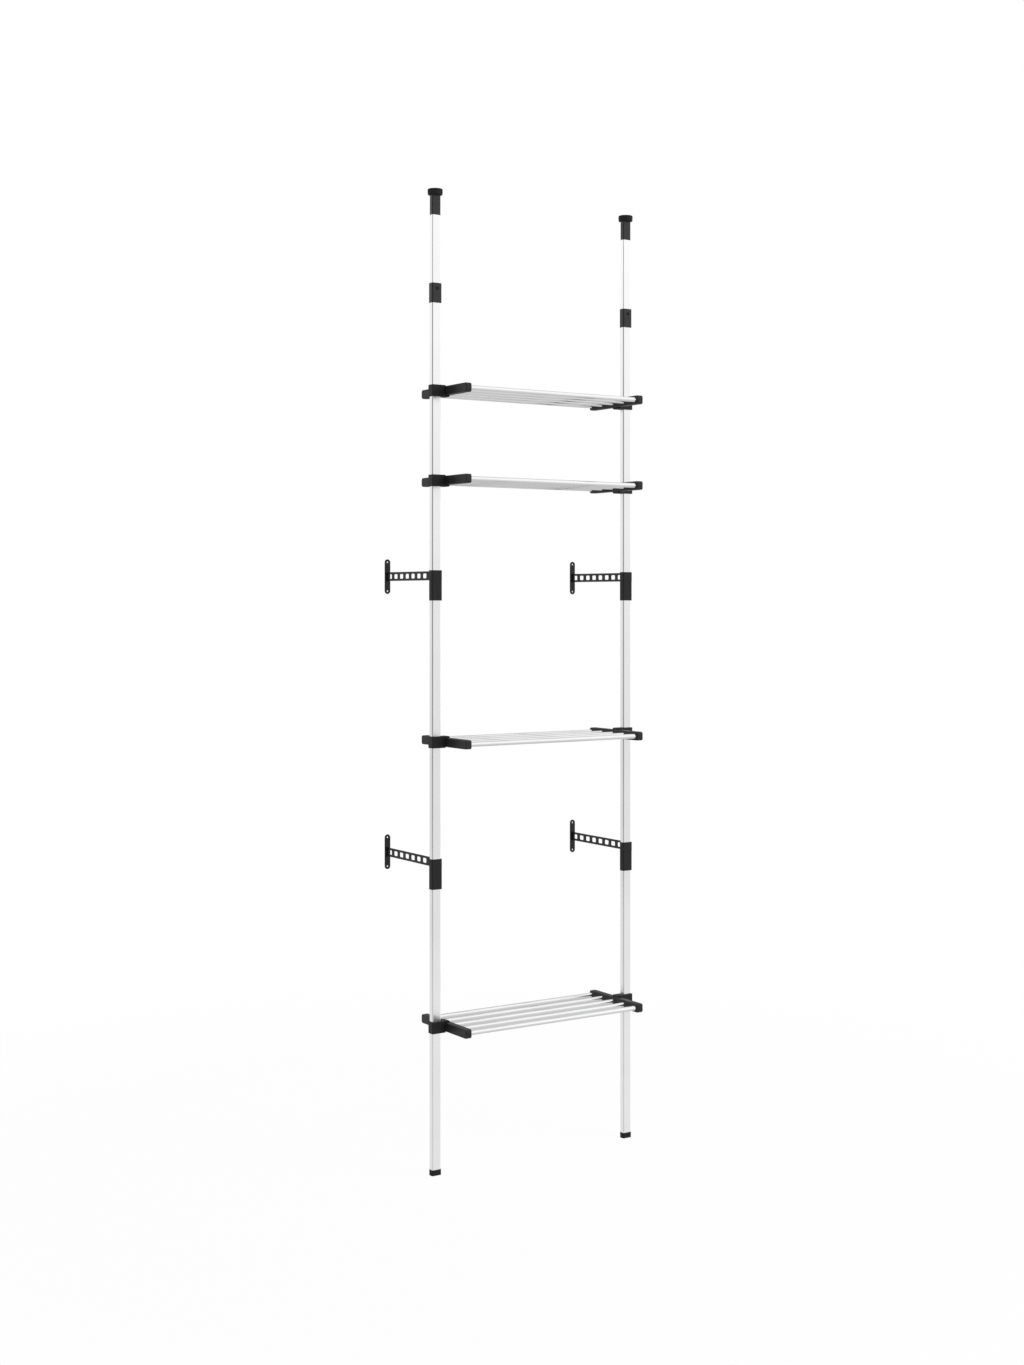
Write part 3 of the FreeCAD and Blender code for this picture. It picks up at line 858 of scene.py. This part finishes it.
@dataclass
class TensionHead:
    """Telescopic top of one pole: tube, plunger, spring, pad and push button.

    Each corner of an outline has three values, the last of which is its rounding: pad_side holds
    how far a corner is set in and its share of the height, groove_outline counts both ways in
    groove depths, and button_dish holds set-in and depth below the rim, both from the outside.
    """

    side: Side
    paint: PaintShop
    wire: float = 1.5 * MM
    working_turns: int = 7
    end_turns: float = 1.0
    end_rise: float = 0.25
    wire_sides: int = 12
    steps_per_turn: int = 40
    spring_keep: float = 0.54
    pad_columns: int = 96
    pad_flats: Pair = (0.6, 0.2)
    pad_side: Outline = ((0.6 * MM, 0.0, 1.2 * MM), (0.2 * MM, 0.32, 0.6 * MM),
                         (0.0, 0.45, 0.6 * MM), (0.0, 1.0, 1.8 * MM))
    groove_count: int = 3
    groove_inset: float = 3.2 * MM
    groove: float = 0.8 * MM
    land: float = 2.4 * MM
    groove_outline: Outline = ((0.0, 0.0, 0.3 * MM), (0.5, 1.0, 0.25 * MM),
                               (1.5, 1.0, 0.25 * MM), (2.0, 0.0, 0.3 * MM))
    button_columns: int = 64
    button_flats: tuple[float, float, float] = (0.5, 0.35, 0.1)
    button_foot_round: float = 0.15 * MM
    button_dish: Outline = ((0.0, 0.0, 0.35 * MM), (0.9 * MM, 0.0, 0.25 * MM),
                            (1.2 * MM, 0.35 * MM, 0.2 * MM))
    dish_middle: Outline = ((0.35, 0.55 * MM, 0.4 * MM), (0.1, 0.6 * MM, 0.0))

    def name(self, stem: str) -> str:
        """Name of this pole's node or piece."""
        return f"{stem}_{self.side.value}"

    def build(self) -> None:
        """Dress the nodes and make the pieces that stand for the plain ones."""
        for member in ("top_tube", "spring_seat", "plunger"):
            self.paint.dress_node(self.name(member))
        self.finish_piece(self.spring(), "plunger_spring", "top_tube")
        self.finish_piece(self.pad(), "ceiling_pad", "plunger")
        self.finish_piece(self.button(), "lock_button", "lock_button")

    def finish_piece(self, piece: bpy.types.Object, stem: str, body: str) -> None:
        """Paint a new piece, seat it on its body and let it stand for its node.

        Args:
            piece: the new piece.
            stem: the node that it replaces, without the side.
            body: the body that carries it, without the side.
        """
        self.paint.dress_piece(piece, self.name(stem))
        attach(piece, self.name(body))
        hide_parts(self.name(stem))
        if stem == "plunger_spring":
            low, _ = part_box(self.name(stem))
            self.name("plunger") + "_press"
            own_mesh(piece)
        log.info("made %s, %d faces", piece.name, len(piece.data.polygons))

    def spring(self) -> bpy.types.Object:
        """Compression spring of round wire with closed end turns.

        The wire's centre line is a helix whose rise slows to one wire diameter a turn at both
        ends; a circle is carried along it, square to the helix.

        Returns:
            The spring.
        """
        low, high = (np.array(corner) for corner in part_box(self.name("plunger_spring")))
        axis = (low + high) / 2
        coil = (high[0] - low[0]) / 2 - self.wire / 2
        turns = self.working_turns + 2 * self.end_turns
        turn = np.linspace(0, turns, int(turns * self.steps_per_turn) + 1)
        rise = np.interp(turn, (0, self.end_turns, turns - self.end_turns, turns),
                         (self.end_rise, 1, 1, self.end_rise))
        climb = np.concatenate(([0.0], np.cumsum((rise[1:] + rise[:-1]) / 2)))
        height = high[2] - low[2] - self.wire
        z = low[2] + self.wire / 2 + climb / climb[-1] * height
        angle = 2 * math.pi * turn
        radial = np.stack((np.cos(angle), np.sin(angle), np.zeros_like(angle)), axis=-1)
        centre = np.stack((axis[0] + coil * radial[:, 0], axis[1] + coil * radial[:, 1], z), axis=-1)
        tangent = np.gradient(centre, axis=0)
        tangent /= np.linalg.norm(tangent, axis=1, keepdims=True)
        upward = np.cross(radial, tangent)
        section = around(self.wire_sides)
        ring = (radial[:, None, :] * np.cos(section)[None, :, None]
                - upward[:, None, :] * np.sin(section)[None, :, None]) * self.wire / 2
        points = (centre[:, None, :] + ring).reshape(-1, 3)
        sides, last = self.wire_sides, (len(turn) - 1) * self.wire_sides
        faces = grid_faces(len(turn), sides).tolist()
        faces.append(list(range(sides))[::-1])
        faces.append(list(range(last, last + sides)))
        return piece_from(self.name("round_wire_spring"), [(points, faces)])

    def pad(self) -> bpy.types.Object:
        """Ceiling pad: a lathed disc with three grip grooves in its top and a waisted side.

        Returns:
            The pad.
        """
        low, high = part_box(self.name("ceiling_pad"))
        radius, height = (high.x - low.x) / 2, high.z - low.z
        under, top = self.pad_flats
        profile = [(under * radius, 0.0, 0.0)]
        profile += [(radius - inset, share * height, turn) for inset, share, turn in self.pad_side]
        for index in range(self.groove_count):
            outer = radius - self.groove_inset - index * (2 * self.groove + self.land)
            profile += [(outer - across * self.groove, height - down * self.groove, turn)
                        for across, down, turn in self.groove_outline]
        profile.append((top * radius, height, 0.0))
        centre = ((low.x + high.x) / 2, (low.y + high.y) / 2, low.z)
        return piece_from(self.name("grooved_ceiling_pad"),
                          [lathe(rounded(profile), centre, Axis.UP, self.pad_columns)])

    def button(self) -> bpy.types.Object:
        """Push button: a lathed disc, dished for the thumb, with a raised rim.

        Returns:
            The button.
        """
        low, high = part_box(self.name("lock_button"))
        radius, depth = (high.x - low.x) / 2, high.y - low.y
        profile = [(self.button_flats[0] * radius, 0.0, 0.0), (radius, 0.0, self.button_foot_round)]
        profile += [(radius - inset, depth - down, turn) for inset, down, turn in self.button_dish]
        profile += [(share * radius, depth - down, turn) for share, down, turn in self.dish_middle]
        centre = ((low.x + high.x) / 2, high.y, (low.z + high.z) / 2)
        return piece_from(self.name("dished_lock_button"),
                          [lathe(rounded(profile), centre, Axis.TO_FRONT, self.button_columns)])


@dataclass
class WallArm:
    """Slotted strap with its T plate."""

    level: Level
    side: Side
    paint: PaintShop
    softener: Softener = Softener(0.25 * MM)

    def build(self) -> None:
        """Dress the arm and round its punched edges."""
        piece = self.paint.dress_node(f"{self.level.value}_wall_arm_{self.side.value}")
        self.softener.apply_to(piece)


@dataclass
class Shelf:
    """One shelf: two end bars, two clamps with their grub screws, and five round tubes."""

    name: str
    paint: PaintShop
    pitch: float = 0.7 * MM
    thread_depth: float = 0.35 * MM
    thread_sharp_angle: float = 28.0
    chamfer: float = 0.15 * MM
    chamfer_slope: float = 0.9
    socket_flats: float = 2.0 * MM
    socket_depth: float = 2.0 * MM
    socket_lip: float = 0.12 * MM
    drill_point: float = 0.45 * MM
    drill_point_share: float = 0.35
    screw_columns: int = 48
    rows_per_turn: int = 10
    softener: Softener = Softener(0.7 * MM, segments=3)

    def build(self) -> None:
        """Dress the shelf's nodes and make its grub screws."""
        for side in Side:
            self.paint.dress_node(f"{self.name}_bar_{side.value}")
            clamp = self.paint.dress_node(f"{self.name}_clamp_{side.value}")
            self.softener.apply_to(clamp)
        self.paint.dress_node(f"{self.name}_tubes")
        screws = self.grub_screws()
        self.paint.dress_piece(screws, f"{self.name}_screws")
        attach(screws, self.name)
        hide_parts(f"{self.name}_screws")
        log.info("made %s, %d faces", screws.name, len(screws.data.polygons))

    def grub_screws(self) -> bpy.types.Object:
        """Both grub screws: threaded studs with a hexagon socket in the end that shows.

        The side's radius follows a triangle wave of height less angle, which makes the thread;
        the socket's radius is the hexagon's, flats over the cosine of the angle from a flat.

        Returns:
            The pair of screws as one piece.
        """
        low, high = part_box(f"{self.name}_screws")
        radius = (high.z - low.z) / 2
        length = high.y - low.y
        centre_z = (low.z + high.z) / 2
        parts = [self.screw((x, low.y, centre_z), radius, length)
                 for x in (low.x + radius, high.x - radius)]
        return piece_from(f"{self.name}_socket_screws", parts, self.thread_sharp_angle)

    def screw(self, start: Point, radius: float, length: float) -> Surface:
        """One grub screw along +Y from its hidden end.

        Args:
            start: centre of the hidden end.
            radius: outer radius of the thread.
            length: whole length.

        Returns:
            Points and faces.
        """
        angle = around(self.screw_columns)
        turns = length / self.pitch
        heights = np.linspace(0, length, int(turns * self.rows_per_turn) + 1)
        phase = (heights[:, None] / self.pitch - angle[None, :] / (2 * math.pi)) % 1.0
        wave = np.abs(2 * phase - 1)
        end_radius = radius - self.thread_depth - self.chamfer
        ease = np.minimum(heights, length - heights)[:, None]
        side = np.minimum(radius - self.thread_depth * wave, end_radius + self.chamfer_slope * ease)
        sixth = math.pi / 3
        flat = self.socket_flats / 2 / np.cos((angle + sixth / 2) % sixth - sixth / 2)
        mouth = np.stack((flat + self.socket_lip, flat, flat, self.drill_point_share * flat))
        depth = np.array((0.0, self.socket_lip, self.socket_depth, self.socket_depth + self.drill_point))
        rows = np.concatenate((heights, length - depth))
        return turned_surface(rows, np.concatenate((side, mouth)), start, Axis.TO_WALL)


# ---------------------------------------------------------------------------------------------
# Studio
# ---------------------------------------------------------------------------------------------
@dataclass(frozen=True)
class Lamp:
    """A large soft lamp: its name, where it hangs, the side of its square and its watts."""

    name: str
    place: Point
    size: float
    power: float


@dataclass(frozen=True)
class Bay:
    """A soft lobe of one grey in the surroundings.

    It has its bearing, its share at the middle, how sharply it falls off, its grey and, where it
    keeps to the upper part, the heights of direction at which it starts and is full.
    """

    bearing: Point
    share: float
    sharpness: float
    grey: float = 0.0
    above: Pair | None = None


@dataclass
class Studio:
    """Plain pale floor, soft lights, white surroundings and the camera.

    sky holds the greys that gloss sees, each beside the height of direction from 0 to 1 at which
    it lies; they are divided by sky_peak inside the ramp, whose output ends at 1.
    """

    camera_offset: Point = (-2.5234, -4.2092, 1.5181)
    camera_turn: float = math.radians(-33.31)
    lens: float = 49.02
    sensor: float = 36.0
    horizon_shift: float = -0.0609
    clip: Pair = (0.05, 100.0)
    floor_radius: float = 3.0
    floor_solid: float = 1.2
    floor_hub: float = 0.02
    floor_rings: int = 12
    floor_columns: int = 96
    floor_colour: Colour = (0.86, 0.86, 0.86)
    floor_whiteness: float = 0.965
    white: Colour = (1.0, 1.0, 1.0)
    ambient: float = 0.42
    aim: Point = (0.0, 0.0, 1.2)
    lamps: tuple[Lamp, ...] = (Lamp("key_light", (2.4, -3.6, 3.6), 2.6, 130.0),
                               Lamp("fill_light", (-4.2, -1.6, 2.6), 3.0, 10.0),
                               Lamp("rear_light", (1.5, 3.8, 3.2), 2.6, 50.0))
    sky: tuple[Pair, ...] = ((0.0, 0.60), (0.25, 0.62), (0.34, 0.84), (0.40, 0.93), (0.445, 0.67),
                              (0.49, 0.90), (0.545, 0.90), (0.60, 1.19), (0.70, 1.02), (1.0, 1.0))
    sky_peak: float = 1.25
    bays: tuple[Bay, ...] = (Bay((-0.836, -0.549, 0.0), 0.85, 3.0, above=(-0.22, -0.10)),
                             Bay((0.40, 0.916, 0.0), 0.92, 8.0),
                             Bay((0.50, 0.60, 0.62), 0.38, 6.0),
                             Bay((0.996, -0.087, 0.0), 0.60, 8.0, grey=2.0))

    def build(self) -> None:
        """Set the stage."""
        self.camera()
        self.world()
        self.floor()
        for lamp in self.lamps:
            self.hang(lamp)
        settings = bpy.context.scene.view_settings
        settings.view_transform = "Standard"

    def camera(self) -> None:
        """Level camera at eye height, to the front left of the left pole, framed by a shift."""
        low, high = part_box("foot_left")
        foot = np.array(((low.x + high.x) / 2, (low.y + high.y) / 2, 0.0))
        data = bpy.data.cameras.new("camera")
        data.sensor_width = self.sensor
        data.lens = self.lens
        data.shift_y = self.horizon_shift
        data.clip_start, data.clip_end = self.clip
        camera = bpy.data.objects.new("camera", data)
        camera.location = foot + np.array(self.camera_offset)
        camera.rotation_euler = (math.pi / 2, 0.0, self.camera_turn)
        bpy.context.scene.collection.objects.link(camera)
        bpy.context.scene.camera = camera

    def hang(self, lamp: Lamp) -> None:
        """Hang a lamp so that it faces the middle of the unit, unseen itself.

        Args:
            lamp: the lamp.
        """
        data = bpy.data.lights.new(lamp.name, "AREA")
        data.size = lamp.size
        data.energy = lamp.power
        light = bpy.data.objects.new(lamp.name, data)
        light.location = lamp.place
        aim = np.array(self.aim) - np.array(lamp.place)
        yaw = math.atan2(aim[1], aim[0]) - math.pi / 2
        tilt = math.atan2(np.hypot(aim[0], aim[1]), -aim[2])
        light.rotation_euler = (tilt, 0.0, yaw)
        light.visible_glossy = False
        light.visible_camera = False
        bpy.context.scene.collection.objects.link(light)

    def world(self) -> None:
        """White surroundings for the camera; a studio with darker bays for gloss."""
        world = bpy.data.worlds.new("studio")
        world.use_nodes = True
        bpy.context.scene.world = world
        sheet = NodeSheet(world.node_tree)
        way = sheet.add("ShaderNodeTexCoord").outputs["Generated"]
        rays = sheet.add("ShaderNodeLightPath").outputs
        level = sheet.mix(rays["Is Glossy Ray"], (self.ambient,) * 3, self.studio_level(sheet, way))
        seen = sheet.math("MAXIMUM", rays["Is Camera Ray"], rays["Is Transmission Ray"])
        level = sheet.mix(seen, level, self.white)
        sheet.feed(sheet.tree.nodes["Background"], Color=level, Strength=1.0)

    def studio_level(self, sheet: NodeSheet, way: Socket) -> Socket:
        """Brightness that gloss sees in each direction.

        It is a ramp over the height of the direction, with three dark bays and a bright one.

        Args:
            sheet: the world's node sheet.
            way: the direction looked in.

        Returns:
            A grey level.
        """
        height = sheet.add("ShaderNodeSeparateXYZ", {0: way}).outputs[2]
        ramp = sheet.add("ShaderNodeValToRGB", {0: sheet.math("MULTIPLY_ADD", height, 0.5, 0.5)})
        ramp.color_ramp.interpolation = "B_SPLINE"
        elements = ramp.color_ramp.elements
        for index, (position, grey) in enumerate(self.sky):
            element = elements[index] if index < len(elements) else elements.new(position)
            element.position = position
            element.color = (*(grey / self.sky_peak,) * 3, 1.0)
        level = sheet.math("MULTIPLY", ramp.outputs[0], self.sky_peak)
        for bay in self.bays:
            toward = sheet.vector("DOT_PRODUCT", way, bay.bearing).outputs["Value"]
            lobe = sheet.math("POWER", sheet.math("MAXIMUM", toward, 0.0), bay.sharpness)
            lobe = sheet.math("MULTIPLY", lobe, bay.share)
            if bay.above:
                lobe = sheet.math("MULTIPLY", lobe, sheet.smooth(height, *bay.above))
            level = sheet.mix(lobe, level, (bay.grey,) * 3)
        return level

    def floor(self) -> None:
        """Round floor: solid near the unit, fading into the white surroundings."""
        angle = around(self.floor_columns)
        rings = np.linspace(self.floor_hub, self.floor_radius, self.floor_rings)[:, None]
        flat = np.broadcast_arrays(rings * np.cos(angle), rings * np.sin(angle), 0.0)
        points = np.stack(flat, axis=-1).reshape(-1, 3)
        faces = grid_faces(self.floor_rings, self.floor_columns)[:, ::-1].tolist()
        faces.append(list(range(self.floor_columns)))
        floor = piece_from("floor", [(points, faces)])
        floor.data.materials.append(self.floor_paint())
        floor.visible_glossy = False

    def floor_paint(self) -> bpy.types.Material:
        """Pale floor: nearly white to the camera, with a faint shadow, fading out with distance.

        Returns:
            The floor's material.
        """
        paint = bpy.data.materials.new("floor_paint")
        paint.use_nodes = True
        sheet = NodeSheet(paint.node_tree)
        sheet.tree.nodes.remove(sheet.tree.nodes["Principled BSDF"])
        matt = sheet.add("ShaderNodeBsdfDiffuse", {"Color": self.floor_colour}).outputs[0]
        white = sheet.add("ShaderNodeEmission", {"Color": self.white, "Strength": 1.0}).outputs[0]
        rays = sheet.add("ShaderNodeLightPath").outputs
        share = sheet.math("MULTIPLY", rays["Is Camera Ray"], self.floor_whiteness)
        shown = sheet.add("ShaderNodeMixShader", {0: share, 1: matt, 2: white}).outputs[0]
        place = sheet.add("ShaderNodeTexCoord").outputs["Object"]
        distance = sheet.vector("LENGTH", place).outputs["Value"]
        fade = sheet.smooth(distance, self.floor_solid, self.floor_radius)
        clear = sheet.add("ShaderNodeBsdfTransparent").outputs[0]
        mixed = sheet.add("ShaderNodeMixShader", {0: fade, 1: shown, 2: clear}).outputs[0]
        sheet.feed(sheet.tree.nodes["Material Output"], Surface=mixed)
        return paint


def main() -> None:
    """Build the unit piece by piece, then the studio round it."""
    logging.basicConfig(level=logging.INFO, format="%(message)s")
    paint = PaintShop()
    for side in Side:
        Pole(side, paint).build()
        TensionHead(side, paint).build()
        for level in Level:
            WallArm(level, side, paint).build()
    for number in range(1, SHELF_COUNT + 1):
        Shelf(f"shelf_{number}", paint).build()
    Studio().build()


if __name__ == "__main__":
    main()
